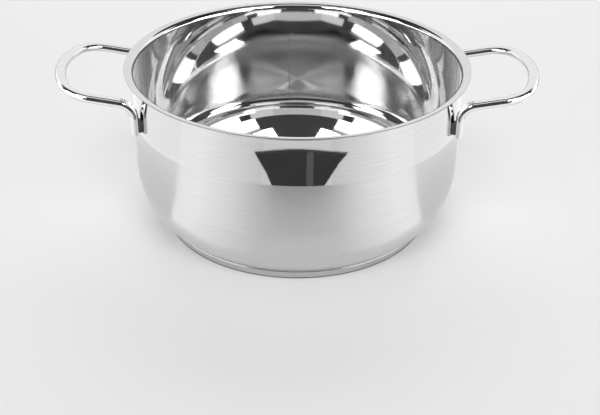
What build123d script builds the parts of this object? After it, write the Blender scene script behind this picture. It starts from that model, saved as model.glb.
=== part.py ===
from build123d import *
import os
from math import asin, atan2, cos, degrees, radians, sin, sqrt

# Stainless-steel cooking pot with a flared pouring rim, an encapsulated base and two welded loop handles
# Millimetres, +Z up, origin at the centre of the underside, handles on the X axis

# Bowl
sheet = 0.8
wall_radius = 119.0
rim_height = 123.5
rim_reach = 6.0
flare_radius = 3.0
flange_slope = 8.0
belly_start = 49.5
belly_inset = 19.3
seam_height = 7.2

# Encapsulated base
cap_sheet = 0.5
cap_taper = 2.3
cap_corner_radius = 1.5
core_thickness = 5.0
core_chamfer = 1.0
core_clearance = 0.3
seam_clearance = 0.05

# Handles, each bent from one flattened round bar
bar_width = 8.4
bar_height = 5.4
bar_end_round = 0.6
leg_spacing = 92.0
leg_drop = 36.4
leg_length = 12.0
leg_bend_radius = 12.0
arm_slope = 9.4
arm_reach = 47.2
loop_corner_radius = 22.0
loop_end_radius = 82.0

# Welds between the legs and the wall
weld_gap = 0.5
weld_width = 5.0
weld_height = 9.0
weld_clearance = 0.05

os.makedirs("parts", exist_ok=True)


# Bowl
# The belly is one arc from the upright wall to the seam, and the heel is one arc from the seam to the floor
seam_radius = wall_radius - belly_inset
belly_drop = belly_start - seam_height
belly_radius = (belly_inset**2 + belly_drop**2) / (2 * belly_inset)
belly_angle = degrees(atan2(belly_drop, belly_radius - belly_inset))
floor_height = cap_sheet + core_thickness
heel_radius = (seam_height - floor_height) / (1 - sin(radians(belly_angle)))
floor_radius = seam_radius - heel_radius * cos(radians(belly_angle))

# The flange runs straight from the end of the flare to the cut edge
flange_start_radius = wall_radius + flare_radius * (1 - sin(radians(flange_slope)))
flange_length = (wall_radius + rim_reach - flange_start_radius) / cos(radians(flange_slope))
flange_rise = flange_length * sin(radians(flange_slope))
flare_start = rim_height - flange_rise - (flare_radius + sheet) * cos(radians(flange_slope))


def bowl_line(depth):
    """Half of the bowl's section, from the axis to the rim, at a depth into the sheet from outside."""
    floor_line = Line((0, floor_height + depth), (floor_radius, floor_height + depth))
    heel = JernArc(floor_line @ 1, floor_line % 1, heel_radius - depth, 90 - belly_angle)
    belly = JernArc(heel @ 1, heel % 1, belly_radius - depth, belly_angle)
    wall = Line(belly @ 1, (wall_radius - depth, flare_start))
    flare = JernArc(wall @ 1, wall % 1, flare_radius + depth, flange_slope - 90)
    flange = PolarLine(flare @ 1, flange_length, flange_slope)
    return floor_line @ 0, flange @ 1


with BuildPart() as bowl:
    with BuildSketch(Plane.XZ):
        with BuildLine():
            under_axis, under_edge = bowl_line(0)
            inner_axis, inner_edge = bowl_line(sheet)
            Line(under_axis, inner_axis)
            Line(under_edge, inner_edge)
        make_face()
    revolve(axis=Axis.Z)
bowl.part.label = "bowl"
export_step(bowl.part, "parts/bowl.step")


# Base cap
# Its sheet ends just under the belly, so the seam shows as a fine groove
cap_foot_radius = seam_radius - cap_taper
cap_rim_inner_radius = seam_radius - cap_sheet
belly_centre_radius = wall_radius - belly_radius
belly_at_rim = belly_start - sqrt(belly_radius**2 - (cap_rim_inner_radius - belly_centre_radius) ** 2)
cap_rim_height = belly_at_rim - seam_clearance

with BuildPart() as base_cap:
    with BuildSketch(Plane.XZ):
        with BuildLine():
            FilletPolyline(
                (0, 0),
                (cap_foot_radius, 0),
                (seam_radius, cap_rim_height),
                radius=cap_corner_radius,
            )
            FilletPolyline(
                (0, cap_sheet),
                (cap_foot_radius - cap_sheet, cap_sheet),
                (cap_rim_inner_radius, cap_rim_height),
                radius=cap_corner_radius - cap_sheet,
            )
            Line((0, 0), (0, cap_sheet))
            Line((seam_radius, cap_rim_height), (cap_rim_inner_radius, cap_rim_height))
        make_face()
    revolve(axis=Axis.Z)
base_cap.part.label = "base_cap"
export_step(base_cap.part, "parts/base_cap.step")


# Aluminium core
# It lies flat between the cap and the bowl's floor, clear of the cap's side
with BuildPart() as base_core:
    with BuildSketch(Plane.XY.offset(cap_sheet)):
        Circle(cap_foot_radius - cap_sheet - core_clearance)
    extrude(amount=core_thickness)
    chamfer(base_core.edges().sort_by(Axis.Z)[0], length=core_chamfer)
base_core.part.label = "base_core"
export_step(base_core.part, "parts/base_core.step")


# Handles
# Each leg stands off the wall by the weld gap, measured where the bar comes nearest to the wall
leg_y = leg_spacing / 2
leg_angle = asin(leg_y / (wall_radius + weld_gap + bar_height / 2))
leg_half_depth = bar_height / 2 + (bar_width - bar_height) / 2 * sin(leg_angle)
leg_distance = wall_radius + weld_gap + leg_half_depth
leg_x = sqrt(leg_distance**2 - leg_y**2)
leg_foot_height = rim_height - leg_drop
leg_top = leg_foot_height + leg_length
slope = radians(arm_slope)
loop_x = leg_x + leg_bend_radius * (1 - sin(slope))
loop_z = leg_top + leg_bend_radius * cos(slope)
loop_plane = Plane(
    origin=(loop_x, 0, loop_z),
    x_dir=(cos(slope), 0, sin(slope)),
    z_dir=(-sin(slope), 0, cos(slope)),
)


def leg_line(y):
    """A leg and the bend above it, in the upright plane at y."""
    with BuildLine(Plane.XZ.offset(-y)) as line:
        leg = Line((leg_x, leg_foot_height), (leg_x, leg_top))
        JernArc(leg @ 1, leg % 1, leg_bend_radius, arm_slope - 90)
    return line.edges()


# The loop's outer end is one wide arc, which each corner arc meets at this angle from the middle
corner_inset = leg_y - loop_corner_radius
corner_to_end = loop_end_radius - loop_corner_radius
end_angle = degrees(asin(corner_inset / corner_to_end))
arm_length = arm_reach - loop_end_radius + sqrt(corner_to_end**2 - corner_inset**2)

with BuildLine(loop_plane) as loop_line:
    front_arm = Line((0, -leg_y), (arm_length, -leg_y))
    front_corner = JernArc(front_arm @ 1, front_arm % 1, loop_corner_radius, 90 - end_angle)
    loop_end = JernArc(front_corner @ 1, front_corner % 1, loop_end_radius, 2 * end_angle)
    rear_corner = JernArc(loop_end @ 1, loop_end % 1, loop_corner_radius, 90 - end_angle)
    Line(rear_corner @ 1, (0, leg_y))

bar_path = Wire(leg_line(-leg_y) + loop_line.edges() + leg_line(leg_y))

with BuildPart() as handle_right:
    with BuildSketch(Plane((leg_x, -leg_y, leg_foot_height))):
        SlotOverall(bar_width, bar_height, rotation=90)
    sweep(path=bar_path)
    end_faces = handle_right.faces().sort_by(Axis.Z)[:2]
    fillet(end_faces.edges(), radius=bar_end_round)
handle_right.part.label = "handle_right"
export_step(handle_right.part, "parts/handle_right.step")

with BuildPart() as handle_left:
    mirror(handle_right.part, about=Plane.YZ)
handle_left.part.label = "handle_left"
export_step(handle_left.part, "parts/handle_left.step")


# Welds
# Each one fills the narrow space between the round wall and the leg, over the leg's straight part
weld_foot = leg_foot_height + (leg_length - weld_height) / 2


def weld(side_x, side_y):
    """The weld under one leg, on the side of the pot that the two signs give."""
    x, y = side_x * leg_x, side_y * leg_y
    weld_plane = Plane(
        origin=(x, y, weld_foot),
        x_dir=(side_x * cos(leg_angle), side_y * sin(leg_angle), 0),
        z_dir=(0, 0, 1),
    )
    with BuildPart() as bead:
        with BuildSketch(weld_plane):
            Rectangle(2 * (leg_half_depth + weld_gap), weld_width, align=(Align.MAX, Align.CENTER))
        extrude(amount=weld_height)
        with BuildSketch(Plane.XY.offset(weld_foot)):
            Circle(wall_radius + weld_clearance)
            with Locations((x, y)):
                SlotOverall(bar_width + 2 * weld_clearance, bar_height + 2 * weld_clearance, rotation=90)
        extrude(amount=weld_height, mode=Mode.SUBTRACT)
    return bead


for side_name, side_x in (("left", -1), ("right", 1)):
    for end_name, side_y in (("front", -1), ("rear", 1)):
        name = f"weld_{side_name}_{end_name}"
        bead = weld(side_x, side_y)
        bead.part.label = name
        export_step(bead.part, f"parts/{name}.step")
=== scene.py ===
from math import asin, atan2, cos, pi, radians, sin, sqrt, tau

import bpy
from mathutils import Matrix, Vector


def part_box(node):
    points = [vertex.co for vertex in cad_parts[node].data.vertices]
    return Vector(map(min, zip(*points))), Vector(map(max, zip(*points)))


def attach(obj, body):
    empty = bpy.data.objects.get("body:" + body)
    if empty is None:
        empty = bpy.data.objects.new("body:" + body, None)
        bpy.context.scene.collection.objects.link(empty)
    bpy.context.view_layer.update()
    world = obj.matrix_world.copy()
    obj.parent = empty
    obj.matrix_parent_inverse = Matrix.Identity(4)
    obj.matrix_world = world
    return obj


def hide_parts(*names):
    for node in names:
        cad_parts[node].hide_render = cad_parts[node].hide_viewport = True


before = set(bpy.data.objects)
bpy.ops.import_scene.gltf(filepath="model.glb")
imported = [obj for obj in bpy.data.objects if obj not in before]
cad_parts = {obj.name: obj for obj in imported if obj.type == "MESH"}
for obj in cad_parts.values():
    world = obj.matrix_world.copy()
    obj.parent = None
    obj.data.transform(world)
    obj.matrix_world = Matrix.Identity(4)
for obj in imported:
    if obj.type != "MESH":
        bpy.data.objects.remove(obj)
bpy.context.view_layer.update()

# Stainless-steel cooking pot: the looks of the bowl, its capsule base, the two loop handles and their welds
# Metres, in the part's own frame: +Z up, handles on the X axis, the viewer on the -Y side

# Bowl, beyond what its node's box gives
SHEET = 0.0008
WALL_RADIUS = 0.119
FLARE_RADIUS = 0.003
FLANGE_SLOPE = radians(8)
RIM_EDGE_ROUND = 0.00038
BELLY_START = 0.0495
SEAM_HEIGHT = 0.0072
BAND_HEIGHT = 0.086
BRUSHED_HEIGHT = 0.0095

# Capsule base
CAP_SHEET = 0.0005
CAP_TAPER = 0.0023
CAP_CORNER_RADIUS = 0.0015
CAP_LIP_OUTER_ROUND = 0.00042
CAP_LIP_INNER_ROUND = 0.00006

# Handles
BAR_WIDTH = 0.0084
BAR_HEIGHT = 0.0054
BAR_END_ROUND = 0.0006
WELD_GAP = 0.0005
LEG_SPACING = 0.092
LEG_LENGTH = 0.012
LEG_BEND_RADIUS = 0.012
ARM_SLOPE = radians(9.4)
LOOP_CORNER_RADIUS = 0.022
LOOP_END_RADIUS = 0.082

# Litre scale etched inside the rear wall
SCALE_X = -0.0066
SCALE_LINE = 0.001
SCALE_MARK = 0.005
SCALE_LOW = 0.0405
SCALE_STEP = 0.0114
SCALE_STEPS = 5
ETCH_DARKENING = 0.3
ETCH_ROUGHNESS = 0.2

# How finely the forms are divided, and how near to each other two points count as one
TURN_STEPS = 360
FLAT_STEPS = 12
HEEL_STEPS = 12
BELLY_STEPS = 48
WALL_STEPS = 8
FLARE_STEPS = 16
FLANGE_STEPS = 2
RIM_EDGE_STEPS = 6
CAP_CORNER_STEPS = 10
CAP_SIDE_STEPS = 2
LIP_OUTER_STEPS = 8
LIP_INNER_STEPS = 4
LEG_STEPS = 6
LEG_BEND_STEPS = 28
ARM_STEPS = 10
LOOP_CORNER_STEPS = 48
LOOP_END_STEPS = 64
BAR_ARC_STEPS = 22
END_ROUND_STEPS = 6
SAME_PLACE = 1e-7

# Sums of the normals at both ends of a stretch, beyond which it is the bowl's cut edge or its underside
CUT_EDGE_NORMALS = 1.2
UNDERSIDE_NORMALS = -1.9

bowl_low, bowl_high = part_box("bowl")
cap_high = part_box("base_cap")[1]
loop_low, loop_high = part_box("handle_right")


# Turned forms
# An outline is a list of (radius, height, normal radius, normal height) from the axis or edge where it starts
def arc(centre, radius, start, end, steps, hollow=False):
    """Points along an arc about a centre, from one angle to another; a hollow arc faces its centre."""
    side = -1 if hollow else 1
    points = []
    for i in range(steps + 1):
        a = start + (end - start) * i / steps
        out, up = cos(a), sin(a)
        points.append((centre[0] + radius * out, centre[1] + radius * up, side * out, side * up))
    return points


def run(start, end, normal, steps=1):
    """Points along a straight run that faces one way."""
    points = []
    for i in range(steps + 1):
        t = i / steps
        points.append((start[0] + (end[0] - start[0]) * t, start[1] + (end[1] - start[1]) * t, *normal))
    return points


def joined(*stretches):
    """One outline from several that follow on, without the points that they share."""
    outline = []
    for stretch in stretches:
        for point in stretch:
            if outline and all(abs(a - b) < SAME_PLACE for a, b in zip(outline[-1][:2], point[:2])):
                continue
            outline.append(point)
    return outline


def new_piece(name, points, normals, faces, uvs, materials, face_materials):
    """A smooth mesh object with the exact normals of its form, riding on the pot."""
    mesh = bpy.data.meshes.new(name)
    mesh.from_pydata(points, [], faces)
    for material in materials:
        mesh.materials.append(material)
    mesh.polygons.foreach_set("material_index", face_materials)
    mesh.polygons.foreach_set("use_smooth", [True] * len(faces))
    layer = mesh.uv_layers.new(name="UVMap")
    layer.data.foreach_set("uv", [value for uv in uvs for value in uv])
    mesh.update()
    mesh.normals_split_custom_set_from_vertices(normals)
    piece = bpy.data.objects.new(name, mesh)
    bpy.context.scene.collection.objects.link(piece)
    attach(piece, "root")
    return piece


def turned(name, outline, materials, material_of):
    """A turned piece: an outline taken round the Z axis. UV holds the turn and the way along the outline."""
    points, normals, rings = [], [], []
    for radius, height, normal_radius, normal_height in outline:
        if radius < SAME_PLACE:
            rings.append([len(points)] * TURN_STEPS)
            points.append((0, 0, height))
            normals.append((0, 0, normal_height))
            continue
        rings.append(range(len(points), len(points) + TURN_STEPS))
        for i in range(TURN_STEPS):
            a = tau * i / TURN_STEPS
            points.append((radius * cos(a), radius * sin(a), height))
            normals.append((normal_radius * cos(a), normal_radius * sin(a), normal_height))
    lengths = [0]
    for a, b in zip(outline, outline[1:]):
        lengths.append(lengths[-1] + sqrt((a[0] - b[0]) ** 2 + (a[1] - b[1]) ** 2))
    faces, uvs, face_materials = [], [], []
    for j in range(len(outline) - 1):
        slot = material_of(outline[j], outline[j + 1])
        low, high = rings[j], rings[j + 1]
        for i in range(TURN_STEPS):
            k = (i + 1) % TURN_STEPS
            corners = [low[i], low[k], high[k], high[i]]
            turns = [i, i + 1, i + 1, i]
            ways = [lengths[j], lengths[j], lengths[j + 1], lengths[j + 1]]
            if low[i] == low[k]:
                corners, turns, ways = corners[1:], turns[1:], ways[1:]
            elif high[i] == high[k]:
                corners, turns, ways = corners[:3], turns[:3], ways[:3]
            faces.append(corners)
            uvs.extend((t / TURN_STEPS, way) for t, way in zip(turns, ways))
            face_materials.append(slot)
    return new_piece(name, points, normals, faces, uvs, materials, face_materials)


# Bowl
seam_radius = cap_high.y
belly_inset = WALL_RADIUS - seam_radius
belly_drop = BELLY_START - SEAM_HEIGHT
belly_radius = (belly_inset**2 + belly_drop**2) / (2 * belly_inset)
belly_angle = atan2(belly_drop, belly_radius - belly_inset)
floor_height = bowl_low.z
heel_radius = (SEAM_HEIGHT - floor_height) / (1 - sin(belly_angle))
floor_radius = seam_radius - heel_radius * cos(belly_angle)
flange_start_radius = WALL_RADIUS + FLARE_RADIUS * (1 - sin(FLANGE_SLOPE))
flange_length = (bowl_high.y - flange_start_radius) / cos(FLANGE_SLOPE)
flange_rise = flange_length * sin(FLANGE_SLOPE)
flare_start = bowl_high.z - flange_rise - (FLARE_RADIUS + SHEET) * cos(FLANGE_SLOPE)


def bowl_side(depth):
    """The bowl's outline from the axis to the end of the flange, at a depth into the sheet from outside."""
    hollow = depth > 0
    side = -1 if hollow else 1
    heel_centre = (floor_radius, floor_height + heel_radius)
    belly_centre = (WALL_RADIUS - belly_radius, BELLY_START)
    flare_centre = (WALL_RADIUS + FLARE_RADIUS, flare_start)
    wall = WALL_RADIUS - depth
    underside = run((0, floor_height + depth), (floor_radius, floor_height + depth), (0, -side), FLAT_STEPS)
    heel = arc(heel_centre, heel_radius - depth, -pi / 2, -belly_angle, HEEL_STEPS, hollow)
    belly = arc(belly_centre, belly_radius - depth, -belly_angle, 0, BELLY_STEPS, hollow)
    lower_wall = run((wall, BELLY_START), (wall, BAND_HEIGHT), (side, 0), WALL_STEPS)
    upper_wall = run((wall, BAND_HEIGHT), (wall, flare_start), (side, 0), WALL_STEPS)
    flare = arc(flare_centre, FLARE_RADIUS + depth, pi, pi / 2 + FLANGE_SLOPE, FLARE_STEPS, not hollow)
    start = flare[-1]
    end = (start[0] + flange_length * cos(FLANGE_SLOPE), start[1] + flange_length * sin(FLANGE_SLOPE))
    flange = run(start[:2], end, (side * sin(FLANGE_SLOPE), -side * cos(FLANGE_SLOPE)), FLANGE_STEPS)
    return joined(underside, heel, belly, lower_wall, upper_wall, flare, flange)


def rim_edge(under, top):
    """The cut edge of the sheet with its two corners rounded, from the flange's underside to its top."""
    along = Vector((cos(FLANGE_SLOPE), sin(FLANGE_SLOPE)))
    across = Vector((-sin(FLANGE_SLOPE), cos(FLANGE_SLOPE)))
    inset = RIM_EDGE_ROUND * along
    low_centre = Vector(under[:2]) - inset + RIM_EDGE_ROUND * across
    high_centre = Vector(top[:2]) - inset - RIM_EDGE_ROUND * across
    low = arc(low_centre, RIM_EDGE_ROUND, FLANGE_SLOPE - pi / 2, FLANGE_SLOPE, RIM_EDGE_STEPS)
    high = arc(high_centre, RIM_EDGE_ROUND, FLANGE_SLOPE, FLANGE_SLOPE + pi / 2, RIM_EDGE_STEPS)
    return joined(low, high)


def bowl_outline():
    """The whole section of the bowl: up the outside, over the rim and down the inside."""
    outside, inside = bowl_side(0), bowl_side(SHEET)
    return joined(outside[:-1], rim_edge(outside[-1], inside[-1]), inside[-2::-1])


# The bowl's materials, by their places in its list
SATIN, BAND, MIRROR, BRUSHED, CUT_EDGE = range(5)


def bowl_material_of(a, b):
    """The material of the stretch between two points of the bowl's outline."""
    radius, height = (a[0] + b[0]) / 2, (a[1] + b[1]) / 2
    facing_out = a[2] + b[2] > 0 or a[3] + b[3] < UNDERSIDE_NORMALS
    if a[2] + b[2] > CUT_EDGE_NORMALS and radius > flange_start_radius:
        return CUT_EDGE
    if facing_out and height < BAND_HEIGHT:
        return SATIN
    if height > flare_start or facing_out:
        return BAND
    if height < BRUSHED_HEIGHT:
        return BRUSHED
    return MIRROR


# Capsule base
def cap_outline():
    """The section of the steel cap: out along its underside, up its flared side, over the lip and back."""
    foot_radius = seam_radius - CAP_TAPER
    side_angle = atan2(cap_high.z, CAP_TAPER)
    lean = side_angle - pi / 2
    out = (sin(side_angle), -cos(side_angle))
    outward = Vector(out)
    up_side = Vector((cos(side_angle), sin(side_angle)))
    corner_inset = CAP_CORNER_RADIUS / sin(side_angle) * (1 - cos(side_angle))
    corner_centre = (foot_radius - corner_inset, CAP_CORNER_RADIUS)
    inner_radius = CAP_CORNER_RADIUS - CAP_SHEET
    corner = arc(corner_centre, CAP_CORNER_RADIUS, -pi / 2, lean, CAP_CORNER_STEPS)
    inner_corner = arc(corner_centre, inner_radius, lean, -pi / 2, CAP_CORNER_STEPS, True)
    lip = Vector((seam_radius, cap_high.z))
    outer_centre = lip - CAP_LIP_OUTER_ROUND * (up_side + outward)
    inner_centre = lip - CAP_LIP_INNER_ROUND * up_side - (CAP_SHEET - CAP_LIP_INNER_ROUND) * outward
    outer_lip = arc(outer_centre, CAP_LIP_OUTER_ROUND, lean, side_angle, LIP_OUTER_STEPS)
    inner_lip = arc(inner_centre, CAP_LIP_INNER_ROUND, side_angle, side_angle + pi / 2, LIP_INNER_STEPS)
    return joined(
        run((0, 0), corner[0][:2], (0, -1), FLAT_STEPS),
        corner,
        run(corner[-1][:2], outer_lip[0][:2], out, CAP_SIDE_STEPS),
        outer_lip,
        inner_lip,
        run(inner_lip[-1][:2], inner_corner[0][:2], (-out[0], -out[1]), CAP_SIDE_STEPS),
        inner_corner,
        run(inner_corner[-1][:2], (0, CAP_SHEET), (0, 1), FLAT_STEPS),
    )


# Handles
# A path is a list of (place, direction, way across the bar); the bar's flat faces look along the third axis
def straight(frames, length, steps):
    """Goes on from the last frame in a straight line."""
    place, direction, across = frames[-1]
    for i in range(1, steps + 1):
        frames.append((place + direction * (length * i / steps), direction, across))


def bend(frames, axis, radius, angle, steps):
    """Goes on from the last frame round a bend about an axis, by an angle."""
    place, direction, across = frames[-1]
    centre = place + axis.cross(direction) * radius
    for i in range(1, steps + 1):
        turn = Matrix.Rotation(angle * i / steps, 3, axis)
        frames.append((centre + turn @ (place - centre), turn @ direction, turn @ across))


def handle_path():
    """The right handle's centre line, from its front foot round to its rear foot."""
    leg_y = LEG_SPACING / 2
    leg_angle = asin(leg_y / (WALL_RADIUS + WELD_GAP + BAR_HEIGHT / 2))
    leg_half_depth = BAR_HEIGHT / 2 + (BAR_WIDTH - BAR_HEIGHT) / 2 * sin(leg_angle)
    leg_x = sqrt((WALL_RADIUS + WELD_GAP + leg_half_depth) ** 2 - leg_y**2)
    loop_x = leg_x + LEG_BEND_RADIUS * (1 - sin(ARM_SLOPE))
    outer_face = (BAR_WIDTH - BAR_HEIGHT) / 2 * cos(ARM_SLOPE) + BAR_HEIGHT / 2
    arm_reach = (loop_high.x - outer_face - loop_x) / cos(ARM_SLOPE)
    corner_to_end = LOOP_END_RADIUS - LOOP_CORNER_RADIUS
    end_angle = asin((leg_y - LOOP_CORNER_RADIUS) / corner_to_end)
    arm_length = arm_reach - LOOP_END_RADIUS + corner_to_end * cos(end_angle)
    sideways = Vector((0, 1, 0))
    upright = Vector((-sin(ARM_SLOPE), 0, cos(ARM_SLOPE)))
    frames = [(Vector((leg_x, -leg_y, loop_low.z)), Vector((0, 0, 1)), sideways)]
    straight(frames, LEG_LENGTH, LEG_STEPS)
    bend(frames, sideways, LEG_BEND_RADIUS, pi / 2 - ARM_SLOPE, LEG_BEND_STEPS)
    straight(frames, arm_length, ARM_STEPS)
    bend(frames, upright, LOOP_CORNER_RADIUS, pi / 2 - end_angle, LOOP_CORNER_STEPS)
    bend(frames, upright, LOOP_END_RADIUS, 2 * end_angle, LOOP_END_STEPS)
    bend(frames, upright, LOOP_CORNER_RADIUS, pi / 2 - end_angle, LOOP_CORNER_STEPS)
    straight(frames, arm_length, ARM_STEPS)
    bend(frames, sideways, -LEG_BEND_RADIUS, ARM_SLOPE - pi / 2, LEG_BEND_STEPS)
    straight(frames, LEG_LENGTH, LEG_STEPS)
    return frames


def bar_section(inset):
    """The bar's section, two flats and two half rounds: points across and up, with their normals."""
    radius = BAR_HEIGHT / 2 - inset
    section = []
    for side in (1, -1):
        middle = side * (BAR_WIDTH - BAR_HEIGHT) / 2
        for i in range(BAR_ARC_STEPS + 1):
            a = pi * (i / BAR_ARC_STEPS - side / 2)
            section.append((middle + radius * cos(a), radius * sin(a), cos(a), sin(a)))
    return section


def rounded_end(frame_at_end, outward):
    """The rings that round one end of a bar, from its end face inwards: place, frame, inset and tilt."""
    place, direction, _ = frame_at_end
    rings = []
    for i in range(END_ROUND_STEPS + 1):
        a = pi / 2 * i / END_ROUND_STEPS
        back = -outward * BAR_END_ROUND * (1 - cos(a))
        rings.append((place + direction * back, frame_at_end, BAR_END_ROUND * (1 - sin(a)), outward * cos(a)))
    return rings


def bar(name, path, side, material):
    """A bar of that section along a path, on one side of the pot, with its two ends rounded."""
    rings = rounded_end(path[0], -1)
    rings += [(frame_here[0], frame_here, 0, 0) for frame_here in path[1:-1]]
    rings += rounded_end(path[-1], 1)[::-1]
    points, normals, ways = [], [], []
    way, before = 0, rings[0][0]
    for place, (_, direction, across), inset, tilt in rings:
        way += (place - before).length
        before = place
        up = direction.cross(across)
        flat = sqrt(1 - tilt**2)
        for x, y, normal_x, normal_y in bar_section(inset):
            point = place + across * x + up * y
            normal = (across * normal_x + up * normal_y) * flat + direction * tilt
            points.append((side * point.x, point.y, point.z))
            normals.append((side * normal.x, normal.y, normal.z))
        ways.append(way)
    round_steps = len(points) // len(rings)
    faces, uvs = [], []
    for j in range(len(rings) - 1):
        for i in range(round_steps):
            k = (i + 1) % round_steps
            low, high = j * round_steps, (j + 1) * round_steps
            corners = [low + i, low + k, high + k, high + i]
            turns = [i, i + 1, i + 1, i]
            along = [ways[j], ways[j], ways[j + 1], ways[j + 1]]
            if side < 0:
                corners, turns, along = corners[::-1], turns[::-1], along[::-1]
            faces.append(corners)
            uvs.extend((t / round_steps, way) for t, way in zip(turns, along))
    start_cap = list(range(round_steps))
    end_cap = [len(points) - round_steps + i for i in range(round_steps)]
    for cap, flip in ((start_cap, side > 0), (end_cap, side < 0)):
        faces.append(cap[::-1] if flip else cap)
        uvs.extend([(0, 0)] * round_steps)
    return new_piece(name, points, normals, faces, uvs, [material], [0] * len(faces))


# Materials
# The middle of a noise's range, which goes from a material's low values to its high ones
NOISE_LOW = 0.3
NOISE_HIGH = 0.7
NOISE_ROUGHNESS = 0.5
MOTTLE_DETAIL = 4.0
BRUSH_DETAIL = 2.0
BRUSH_NOISE_ROUGHNESS = 0.6
BRUSH_DIRECTION = 0.25
SHEEN_LOW_SHARE = 0.3
SHEEN_ROUGHNESS = 0.5

# The sheen's streaks are painted reflection, which lightens the steel where it is seen at a grazing angle
# The noise of the ripple and of the sheen: its scales round the axis and along the outline, and its detail
RIPPLE_NOISE = (2.0, 18.0, 0.0)
SHEEN_NOISE = (14.0, 14.0, 1.0)


def new_material(name):
    """A material with its Principled shader, and the tools to add nodes to it."""
    material = bpy.data.materials.new(name)
    material.use_nodes = True
    nodes, links = material.node_tree.nodes, material.node_tree.links
    return material, nodes, links, nodes["Principled BSDF"]


def node(nodes, kind, **settings):
    """A new node with its properties set."""
    made = nodes.new(kind)
    for key, value in settings.items():
        setattr(made, key, value)
    return made


def feed(links, value, socket):
    """Gives a socket a number, or links another socket to it."""
    if isinstance(value, (int, float)):
        socket.default_value = value
    else:
        links.new(value, socket)


def maths(nodes, links, operation, a, b=None, c=None):
    """A Math node on sockets or numbers."""
    made = node(nodes, "ShaderNodeMath", operation=operation)
    for i, value in enumerate((a, b, c)):
        if value is not None:
            feed(links, value, made.inputs[i])
    return made.outputs[0]


def mixed(nodes, links, factor, at_zero, at_one):
    """Goes from one value to another as a factor goes from 0 to 1."""
    made = node(nodes, "ShaderNodeMix", data_type="FLOAT")
    for i, value in ((0, factor), (2, at_zero), (3, at_one)):
        feed(links, value, made.inputs[i])
    return made.outputs[0]


def spread(nodes, links, value, low, high, start=NOISE_LOW, end=NOISE_HIGH):
    """Maps a value's range, which is a noise's middle unless it is given, to another range."""
    made = node(nodes, "ShaderNodeMapRange")
    made.inputs["From Min"].default_value = start
    made.inputs["From Max"].default_value = end
    made.inputs["To Min"].default_value = low
    made.inputs["To Max"].default_value = high
    links.new(value, made.inputs["Value"])
    return made.outputs[0]


def coordinates(nodes, kind):
    """Texture coordinates of one kind."""
    return node(nodes, "ShaderNodeTexCoord").outputs[kind]


def noise(nodes, links, place, scale, detail, roughness=NOISE_ROUGHNESS):
    """Noise at a place."""
    made = node(nodes, "ShaderNodeTexNoise")
    made.inputs["Scale"].default_value = scale
    made.inputs["Detail"].default_value = detail
    made.inputs["Roughness"].default_value = roughness
    links.new(place, made.inputs["Vector"])
    return made.outputs["Fac"]


def brushing(nodes, links, around, along, detail=BRUSH_DETAIL):
    """Noise drawn out round the axis: long in the turning direction and fine along the outline."""
    split = node(nodes, "ShaderNodeSeparateXYZ")
    links.new(coordinates(nodes, "Object"), split.inputs[0])
    flat = node(nodes, "ShaderNodeCombineXYZ")
    links.new(split.outputs[0], flat.inputs[0])
    links.new(split.outputs[1], flat.inputs[1])
    unit = node(nodes, "ShaderNodeVectorMath", operation="NORMALIZE")
    links.new(flat.outputs[0], unit.inputs[0])
    turn = node(nodes, "ShaderNodeVectorMath", operation="SCALE")
    links.new(unit.outputs[0], turn.inputs[0])
    turn.inputs["Scale"].default_value = around
    way = node(nodes, "ShaderNodeSeparateXYZ")
    links.new(coordinates(nodes, "UV"), way.inputs[0])
    lift = node(nodes, "ShaderNodeCombineXYZ")
    links.new(maths(nodes, links, "MULTIPLY", way.outputs[1], along), lift.inputs[2])
    total = node(nodes, "ShaderNodeVectorMath", operation="ADD")
    links.new(turn.outputs[0], total.inputs[0])
    links.new(lift.outputs[0], total.inputs[1])
    return noise(nodes, links, total.outputs[0], 1.0, detail, BRUSH_NOISE_ROUGHNESS)


def grey(nodes, links, value):
    """A neutral colour from a value."""
    made = node(nodes, "ShaderNodeCombineColor")
    for i in range(3):
        links.new(value, made.inputs[i])
    return made.outputs[0]


def bump(nodes, links, height, distance):
    """A bump of a height field, with its depth in metres."""
    made = node(nodes, "ShaderNodeBump")
    made.inputs["Distance"].default_value = distance
    links.new(height, made.inputs["Height"])
    return made.outputs[0]


def between(nodes, links, value, low, high):
    """1 where a value lies between two numbers, else 0."""
    above = maths(nodes, links, "GREATER_THAN", value, low)
    return maths(nodes, links, "MULTIPLY", above, maths(nodes, links, "LESS_THAN", value, high))


def etched_marks(nodes, links):
    """The litre scale etched inside the rear wall: an upright line with a mark for each half litre."""
    place = node(nodes, "ShaderNodeSeparateXYZ")
    links.new(coordinates(nodes, "Object"), place.inputs[0])
    x, y, z = place.outputs
    line = between(nodes, links, x, SCALE_X, SCALE_X + SCALE_LINE)
    steps = maths(nodes, links, "DIVIDE", maths(nodes, links, "SUBTRACT", z, SCALE_LOW), SCALE_STEP)
    at_step = maths(nodes, links, "LESS_THAN", maths(nodes, links, "FRACT", steps), SCALE_LINE / SCALE_STEP)
    beside = between(nodes, links, x, SCALE_X, SCALE_X + SCALE_MARK)
    marks = maths(nodes, links, "MAXIMUM", line, maths(nodes, links, "MULTIPLY", at_step, beside))
    behind = maths(nodes, links, "GREATER_THAN", y, 0)
    in_height = between(nodes, links, z, SCALE_LOW, SCALE_LOW + SCALE_STEPS * SCALE_STEP + SCALE_LINE)
    return maths(nodes, links, "MULTIPLY", marks, maths(nodes, links, "MULTIPLY", behind, in_height))


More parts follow.
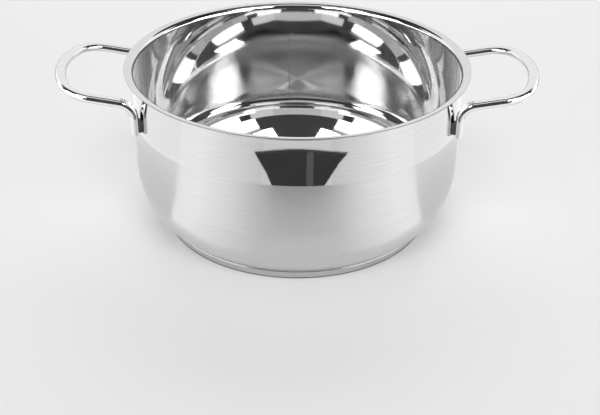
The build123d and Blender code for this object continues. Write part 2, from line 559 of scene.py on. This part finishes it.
def steel(name, colour, roughness, lines, anisotropic=0.0, ripple=0.0, scratch=0.0, sheen=0.0, etched=False):
    """Turned stainless steel, whose colour and roughness go from a low to a high value with the brushing.

    The lines are the brushing's scales round the axis and along the outline.
    The depth of the ripple and of the scratches is in metres. The streaked sheen paints reflection.
    """
    material, nodes, links, shader = new_material(name)
    shader.inputs["Metallic"].default_value = 1.0
    shader.inputs["Anisotropic"].default_value = anisotropic
    shader.inputs["Anisotropic Rotation"].default_value = BRUSH_DIRECTION
    shader.inputs["Sheen Roughness"].default_value = SHEEN_ROUGHNESS
    fine = brushing(nodes, links, *lines)
    tone, grain = spread(nodes, links, fine, *colour), spread(nodes, links, fine, *roughness)
    if etched:
        marks = etched_marks(nodes, links)
        kept = maths(nodes, links, "MULTIPLY_ADD", marks, -ETCH_DARKENING, 1.0)
        tone = maths(nodes, links, "MULTIPLY", tone, kept)
        grain = maths(nodes, links, "MULTIPLY_ADD", marks, ETCH_ROUGHNESS, grain)
    links.new(grey(nodes, links, tone), shader.inputs["Base Color"])
    links.new(grain, shader.inputs["Roughness"])
    if anisotropic:
        tangent = node(nodes, "ShaderNodeTangent", direction_type="RADIAL", axis="Z")
        links.new(tangent.outputs[0], shader.inputs["Tangent"])
    if ripple:
        wide = brushing(nodes, links, *RIPPLE_NOISE)
        links.new(bump(nodes, links, wide, ripple), shader.inputs["Normal"])
    if scratch:
        links.new(bump(nodes, links, fine, scratch), shader.inputs["Normal"])
    # A streaked sheen: painted reflection that stands in for the inner wall's many reflections at grazing
    # angles
    if sheen:
        painted_reflection_streaks = brushing(nodes, links, *SHEEN_NOISE)
        weight = spread(nodes, links, painted_reflection_streaks, SHEEN_LOW_SHARE * sheen, sheen)
        links.new(weight, shader.inputs["Sheen Weight"])
    return material


def mottled_metal(name, colour, roughness, scale, detail=MOTTLE_DETAIL):
    """Metal with a fine even mottle in its colour and roughness."""
    material, nodes, links, shader = new_material(name)
    shader.inputs["Metallic"].default_value = 1.0
    mottle = noise(nodes, links, coordinates(nodes, "Object"), scale, detail)
    links.new(grey(nodes, links, spread(nodes, links, mottle, *colour)), shader.inputs["Base Color"])
    links.new(spread(nodes, links, mottle, *roughness), shader.inputs["Roughness"])
    return material


satin = steel(
    "satin_steel", colour=(0.65, 0.685), roughness=(0.24, 0.255), lines=(3.0, 1100.0), anisotropic=0.8
)
band = steel(
    "polished_steel", colour=(0.66, 0.71), roughness=(0.02, 0.04), lines=(3.0, 1100.0), scratch=0.000002
)
# The mirror steel's sheen paints pale streaked reflections where the inner wall is seen at a grazing angle
mirror = steel(
    "mirror_steel", colour=(0.65, 0.67), roughness=(0.036, 0.044), lines=(8.0, 900.0),
    ripple=0.00004, sheen=0.7, etched=True,
)
brushed = steel(
    "brushed_floor_steel", colour=(0.63, 0.65), roughness=(0.25, 0.27), lines=(3.0, 1500.0), anisotropic=0.95
)
# The base cap's turned steel, darker than the bowl's, partly to paint the shade that its foot shows
base = steel(
    "turned_base_steel_shade_darkened", colour=(0.52, 0.60), roughness=(0.14, 0.2), lines=(14.0, 1500.0), anisotropic=0.5
)
bar_steel = mottled_metal(
    "handle_steel", colour=(0.76, 0.80), roughness=(0.07, 0.12), scale=160.0, detail=3.0
)
# The rim's cut edge: a rough cut edge, its colour darkened to paint the shade line under the flange
cut_edge_painted_shade = mottled_metal("cut_edge_steel_painted_shade", colour=(0.2, 0.3), roughness=(0.3, 0.45), scale=900.0)
# The welds: steel darkened nearly to black, a painted shade for the gap between each leg and the wall
weld_painted_shade = mottled_metal("weld_steel", colour=(0.1, 0.16), roughness=(0.3, 0.45), scale=900.0)
aluminium = mottled_metal("core_aluminium", colour=(0.74, 0.8), roughness=(0.35, 0.5), scale=300.0)

bowl_shell = turned("bowl_shell", bowl_outline(), [satin, band, mirror, brushed, cut_edge_painted_shade], bowl_material_of)
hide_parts("bowl")

base_shell = turned("base_shell", cap_outline(), [base], lambda a, b: 0)
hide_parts("base_cap")

for side, side_name in ((1, "right"), (-1, "left")):
    loop = bar(f"handle_loop_{side_name}", handle_path(), side, bar_steel)
    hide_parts(f"handle_{side_name}")

# The welds take the darkened weld steel, which paints the shade in their gaps
for name, cad_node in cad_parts.items():
    if name.startswith("weld"):
        cad_node.data.materials.clear()
        cad_node.data.materials.append(weld_painted_shade)
    elif name == "base_core":
        cad_node.data.materials.clear()
        cad_node.data.materials.append(aluminium)


# Studio
# The floor, and the lights with their places, widths, heights and radiances
FLOOR_HALF = 4.0
FLOOR_COLOUR = 0.82
FLOOR_ROUGHNESS = 0.9
FLOOR_SPECULAR = 0.0
FRONT_LIGHT = ((0.0, -2.2, 3.0), 2.8, 1.4, 4.7)
REAR_LIGHT = ((0.1, 1.5, 1.4), 2.0, 1.4, 1.8)

# The cards are seen in reflections only, so they light neither the floor nor the camera's view
# Those that stand are given by the places of their ends on the floor, for the right side
SOFTBOX_FRONT = (0.32, -0.42)
SOFTBOX_REAR = (0.55, 0.0)
SOFTBOX_TOP = 0.52
SOFTBOX_FADE_TOP = 0.64
SOFTBOX_LOW_RADIANCE = 0.9
SOFTBOX_RADIANCE = 6.0
SOFTBOX_FADE_RADIANCE = 1.2
HIGH_BOX_FRONT = (0.25, -0.54)
HIGH_BOX_REAR = (0.54, -0.24)
HIGH_BOX_LOW = 0.66
HIGH_BOX_TOP = 1.2
HIGH_BOX_RADIANCE = 8.0
STRIP_REAR = (0.5, 0.25)
STRIP_TOP = 0.25
STRIP_RADIANCE = 5.0
BACKDROP_CORNER = (1.0, 1.4)
BACKDROP_WING = (1.5, 0.55)
BACKDROP_LOW = 0.2
BACKDROP_HIGH = 1.3
BACKDROP_RADIANCE = 1.0
WING_RADIANCE = 1.25
CEILING_HEIGHT = 2.0
CEILING_HALF = (1.5, 0.9)
CEILING_RADIANCE = 1.5

# Cards on the floor in front, which the polished band mirrors as a dark shape with a paler strip in it
FRONT_CARD_ENDS = ((-0.132, -0.301), (0.155, -0.287))
FRONT_CARD_BULGE = 0.046
FRONT_CARD_BACK = (
    (0.122, -0.285), (0.096, -0.277), (0.062, -0.262), (-0.06, -0.264), (-0.082, -0.281), (-0.104, -0.291),
)
FRONT_CARD_HEIGHT = 0.0005
FRONT_CARD_STEPS = 24
FRONT_CARD_RADIANCE = 0.05
PALE_STRIP = ((0.022, -0.262), (0.039, -0.262), (0.052, -0.331), (0.03, -0.331))
PALE_STRIP_HEIGHT = 0.0007
PALE_STRIP_RADIANCE = 0.12
DARK_FLOOR = ((-0.28, -0.4), (-0.9, -3.0), (0.9, -3.0), (0.28, -0.4))

# Cards on the floor beside the pot: a pale wedge, and behind it a darker patch that the satin mirrors
# and a pale one beyond it that the band mirrors, with a dark disc under the foot as a painted contact shadow
PALE_FLOOR_OUTER = ((0.122, -0.058), (0.345, -0.112))
PALE_FLOOR_FADE = ((0.106, -0.076), (0.308, -0.205))
PALE_FLOOR_INNER = ((0.04, -0.118), (0.118, -0.348))
PALE_FLOOR_STEPS = 14
PALE_FLOOR_RADIANCE = 1.15
PALE_FLOOR_INNER_RADIANCE = 0.74
PALE_FLOOR_HEIGHT = 0.0003
SIDE_FLOOR_NEAR = ((0.122, -0.058), (0.112, 0.0), (0.1, 0.05), (0.08, 0.085), (0.1, 0.13))
SIDE_FLOOR_MIDDLE = (
    (0.152, 0.155), (0.179, 0.133), (0.202, 0.107), (0.222, 0.078), (0.237, 0.045), (0.246, 0.01),
    (0.2485, -0.027), (0.246, -0.066), (0.241, -0.0868),
)
SIDE_FLOOR_FAR = (
    (0.345, -0.112), (0.36, 0.0), (0.35, 0.06), (0.325, 0.12), (0.28, 0.19), (0.23, 0.25), (0.17, 0.27),
)
SIDE_FLOOR_HEIGHT = 0.0002
SIDE_FLOOR_NEAR_RADIANCE = 0.74
SIDE_FLOOR_FAR_RADIANCE = 1.1
# The dark disc under the foot: a painted contact shadow, seen in reflections only
FOOT_CARD_RADIUS = 0.0982
FOOT_CARD_HEIGHT = 0.0001
FOOT_CARD_STEPS = 180
FOOT_CARD_RADIANCE = 0.12

# The room as reflections see it, as it lights the floor, and as the camera sees it
# What the pot throws onto the floor is worked out with plain tones instead: the room's, which most cards
# have there too, and a darker one for the cards on the floor beside and under the pot
ROOM_SEEN = 0.06
ROOM_LIGHT = 0.5
ROOM_RETURNED = 2.2
FLOOR_RETURNED = 0.9
BACKGROUND = 0.88
HALF_BOUNCE = 0.5


def studio_floor():
    """A plain pale floor that reaches beyond the camera's view."""
    mesh = bpy.data.meshes.new("floor")
    h = FLOOR_HALF
    mesh.from_pydata([(-h, -h, 0), (h, -h, 0), (h, h, 0), (-h, h, 0)], [], [(0, 1, 2, 3)])
    floor = bpy.data.objects.new("floor", mesh)
    bpy.context.scene.collection.objects.link(floor)
    material, nodes, links, shader = new_material("floor")
    shader.inputs["Base Color"].default_value = (FLOOR_COLOUR, FLOOR_COLOUR, FLOOR_COLOUR, 1)
    shader.inputs["Roughness"].default_value = FLOOR_ROUGHNESS
    shader.inputs["Specular IOR Level"].default_value = FLOOR_SPECULAR
    mesh.materials.append(material)


def before_floor(nodes, links):
    """1 for light that reaches the camera by reflections alone, 0 once the floor has scattered it."""
    depth = node(nodes, "ShaderNodeLightPath").outputs["Diffuse Depth"]
    return maths(nodes, links, "LESS_THAN", depth, HALF_BOUNCE)


def card(name, points, low, high=None, returned=ROOM_RETURNED):
    """A flat card that glows in reflections, from one radiance at its lower edge to another at its upper one.

    Without a second radiance, it fades from its middle to its edges.
    """
    mesh = bpy.data.meshes.new(name)
    mesh.from_pydata(points, [], [tuple(range(len(points)))])
    made = bpy.data.objects.new(name, mesh)
    bpy.context.scene.collection.objects.link(made)
    material = bpy.data.materials.new(name)
    material.use_nodes = True
    nodes, links = material.node_tree.nodes, material.node_tree.links
    nodes.clear()
    glow = node(nodes, "ShaderNodeEmission")
    output = node(nodes, "ShaderNodeOutputMaterial")
    links.new(glow.outputs[0], output.inputs[0])
    place = coordinates(nodes, "Generated")
    if high is None:
        centred = node(nodes, "ShaderNodeVectorMath", operation="MULTIPLY_ADD")
        centred.inputs[1].default_value = (2, 2, 0)
        centred.inputs[2].default_value = (-1, -1, 0)
        links.new(place, centred.inputs[0])
        ball = node(nodes, "ShaderNodeTexGradient", gradient_type="QUADRATIC_SPHERE")
        links.new(centred.outputs[0], ball.inputs[0])
        radiance = spread(nodes, links, ball.outputs["Fac"], 0, low, start=0, end=1)
    else:
        split = node(nodes, "ShaderNodeSeparateXYZ")
        links.new(place, split.inputs[0])
        radiance = spread(nodes, links, split.outputs[2], low, high, start=0, end=1)
    strength = mixed(nodes, links, before_floor(nodes, links), returned, radiance)
    links.new(strength, glow.inputs["Strength"])
    mesh.materials.append(material)
    made.visible_camera = False
    made.visible_diffuse = False
    made.visible_transmission = False
    made.visible_shadow = False


def upright_card(name, start, end, bottom, top, low, high):
    """An upright card between two places on the floor."""
    card(name, [(*start, bottom), (*end, bottom), (*end, top), (*start, top)], low, high)


def floor_card(name, places, height, radiance, returned=ROOM_RETURNED):
    """A card that lies on the floor, just above it."""
    card(name, [(x, y, height) for x, y in places], radiance, radiance, returned)


def on_side(place, side):
    """A place on the floor, taken to one side of the pot."""
    return side * place[0], place[1]


def pale_floor(name, side):
    """A pale wedge of floor beside the pot, with a fade towards the front in narrow steps."""
    lines, radiances = [PALE_FLOOR_OUTER], [PALE_FLOOR_RADIANCE]
    for i in range(PALE_FLOOR_STEPS + 1):
        t = i / PALE_FLOOR_STEPS
        lines.append([Vector(a).lerp(Vector(b), t) for a, b in zip(PALE_FLOOR_FADE, PALE_FLOOR_INNER)])
        radiances.append(PALE_FLOOR_RADIANCE + (PALE_FLOOR_INNER_RADIANCE - PALE_FLOOR_RADIANCE) * t)
    for i, radiance in enumerate(radiances[:-1]):
        places = [on_side(place, side) for place in (*lines[i], *lines[i + 1][::-1])]
        floor_card(f"{name}_{i}", places, PALE_FLOOR_HEIGHT, radiance, FLOOR_RETURNED)


def side_floor(name, places, side, radiance):
    """One of the two patches of floor behind the pale wedge."""
    places = [on_side(place, side) for place in places]
    floor_card(name, places, SIDE_FLOOR_HEIGHT, radiance, FLOOR_RETURNED)


def side_cards(side, name):
    """One side's softbox and its fade, floor, high box, low strip behind the softbox, and backdrop wing."""
    front, rear = on_side(SOFTBOX_FRONT, side), on_side(SOFTBOX_REAR, side)
    upright_card(f"softbox_{name}", front, rear, 0, SOFTBOX_TOP, SOFTBOX_LOW_RADIANCE, SOFTBOX_RADIANCE)
    upright_card(f"softbox_top_{name}", front, rear, SOFTBOX_TOP, SOFTBOX_FADE_TOP, SOFTBOX_FADE_RADIANCE, 0)
    pale_floor(f"pale_floor_{name}", side)
    side_floor(f"side_floor_near_{name}", SIDE_FLOOR_NEAR + SIDE_FLOOR_MIDDLE, side, SIDE_FLOOR_NEAR_RADIANCE)
    side_floor(f"side_floor_far_{name}", SIDE_FLOOR_MIDDLE + SIDE_FLOOR_FAR, side, SIDE_FLOOR_FAR_RADIANCE)
    start, end = on_side(HIGH_BOX_FRONT, side), on_side(HIGH_BOX_REAR, side)
    radiance = HIGH_BOX_RADIANCE
    upright_card(f"high_box_{name}", start, end, HIGH_BOX_LOW, HIGH_BOX_TOP, radiance, radiance)
    upright_card(f"strip_{name}", rear, on_side(STRIP_REAR, side), 0, STRIP_TOP, 0, STRIP_RADIANCE)
    start, end = on_side(BACKDROP_CORNER, side), on_side(BACKDROP_WING, side)
    upright_card(f"wing_{name}", start, end, BACKDROP_LOW, BACKDROP_HIGH, WING_RADIANCE, WING_RADIANCE)


def backdrop_and_ceiling():
    """The pale backdrop between the two wings, and the ceiling that fades to its edges."""
    left, right = on_side(BACKDROP_CORNER, -1), on_side(BACKDROP_CORNER, 1)
    radiance = BACKDROP_RADIANCE
    upright_card("backdrop", left, right, BACKDROP_LOW, BACKDROP_HIGH, radiance, radiance)
    x, y = CEILING_HALF
    z = CEILING_HEIGHT
    card("ceiling", [(-x, -y, z), (x, -y, z), (x, y, z), (-x, y, z)], CEILING_RADIANCE)


def front_cards():
    """The dark card in front with its bulging front edge, the strip in it, and the dark floor beyond."""
    start, end = (Vector(place) for place in FRONT_CARD_ENDS)
    places = []
    for i in range(FRONT_CARD_STEPS + 1):
        t = i / FRONT_CARD_STEPS
        place = start.lerp(end, t)
        places.append((place.x, place.y - 4 * FRONT_CARD_BULGE * t * (1 - t)))
    floor_card("front_card", places + list(FRONT_CARD_BACK), FRONT_CARD_HEIGHT, FRONT_CARD_RADIANCE)
    floor_card("pale_strip", PALE_STRIP, PALE_STRIP_HEIGHT, PALE_STRIP_RADIANCE)
    floor_card("dark_floor", DARK_FLOOR, FRONT_CARD_HEIGHT, FRONT_CARD_RADIANCE)


def painted_foot_shadow():
    """The dark disc under the pot, a painted contact shadow, whose edge the foot mirrors as a fine dark line.
    """
    turns = [tau * i / FOOT_CARD_STEPS for i in range(FOOT_CARD_STEPS)]
    places = [(FOOT_CARD_RADIUS * cos(a), FOOT_CARD_RADIUS * sin(a)) for a in turns]
    floor_card("painted_foot_shadow", places, FOOT_CARD_HEIGHT, FOOT_CARD_RADIANCE, FLOOR_RETURNED)


def soft_light(name, place, width, height, radiance):
    """A large soft light that faces the pot, lights the floor and isn't seen in reflections."""
    light = bpy.data.lights.new(name, "AREA")
    light.shape = "RECTANGLE"
    light.size = width
    light.size_y = height
    light.energy = radiance * pi * width * height
    lamp = bpy.data.objects.new(name, light)
    lamp.location = place
    lamp.rotation_mode = "QUATERNION"
    lamp.rotation_quaternion = (-Vector(place)).to_track_quat("-Z", "Y")
    lamp.visible_camera = False
    lamp.visible_glossy = False
    bpy.context.scene.collection.objects.link(lamp)


def studio_room():
    """The room: pale to the camera, dark in reflections, and soft light from all round."""
    world = bpy.data.worlds.new("room")
    bpy.context.scene.world = world
    world.use_nodes = True
    nodes, links = world.node_tree.nodes, world.node_tree.links
    shader = nodes["Background"]
    shader.inputs["Color"].default_value = (1, 1, 1, 1)
    path = node(nodes, "ShaderNodeLightPath")
    mirrored = mixed(nodes, links, before_floor(nodes, links), ROOM_RETURNED, ROOM_SEEN)
    seen = mixed(nodes, links, path.outputs["Is Glossy Ray"], ROOM_LIGHT, mirrored)
    shown = mixed(nodes, links, path.outputs["Is Camera Ray"], seen, BACKGROUND)
    links.new(shown, shader.inputs["Strength"])


studio_floor()
for side, side_name in ((1, "right"), (-1, "left")):
    side_cards(side, side_name)
backdrop_and_ceiling()
front_cards()
painted_foot_shadow()
soft_light("front_light", *FRONT_LIGHT)
soft_light("rear_light", *REAR_LIGHT)
studio_room()

# Camera, at the photograph's viewing angle
CAMERA_PLACE = Vector((-0.0039, -0.8053, 0.4641))
CAMERA_PITCH = 0.5211
CAMERA_HEADING = 0.0085
CAMERA_ROLL = 0.0111
CAMERA_LENS = 72.0
CAMERA_SENSOR = 36.0


def studio_camera():
    """The camera, turned by its heading, its pitch down and its small roll."""
    ahead = cos(CAMERA_PITCH)
    forward = Vector((sin(CAMERA_HEADING) * ahead, cos(CAMERA_HEADING) * ahead, -sin(CAMERA_PITCH)))
    level = Vector((cos(CAMERA_HEADING), -sin(CAMERA_HEADING), 0))
    upright = level.cross(forward)
    right = cos(CAMERA_ROLL) * level + sin(CAMERA_ROLL) * upright
    up = cos(CAMERA_ROLL) * upright - sin(CAMERA_ROLL) * level
    data = bpy.data.cameras.new("camera")
    data.lens = CAMERA_LENS
    data.sensor_width = CAMERA_SENSOR
    camera = bpy.data.objects.new("camera", data)
    turn = Matrix((right, up, -forward)).transposed().to_4x4()
    camera.matrix_world = Matrix.Translation(CAMERA_PLACE) @ turn
    bpy.context.scene.collection.objects.link(camera)
    bpy.context.scene.camera = camera


studio_camera()
bpy.context.scene.view_settings.view_transform = "Standard"
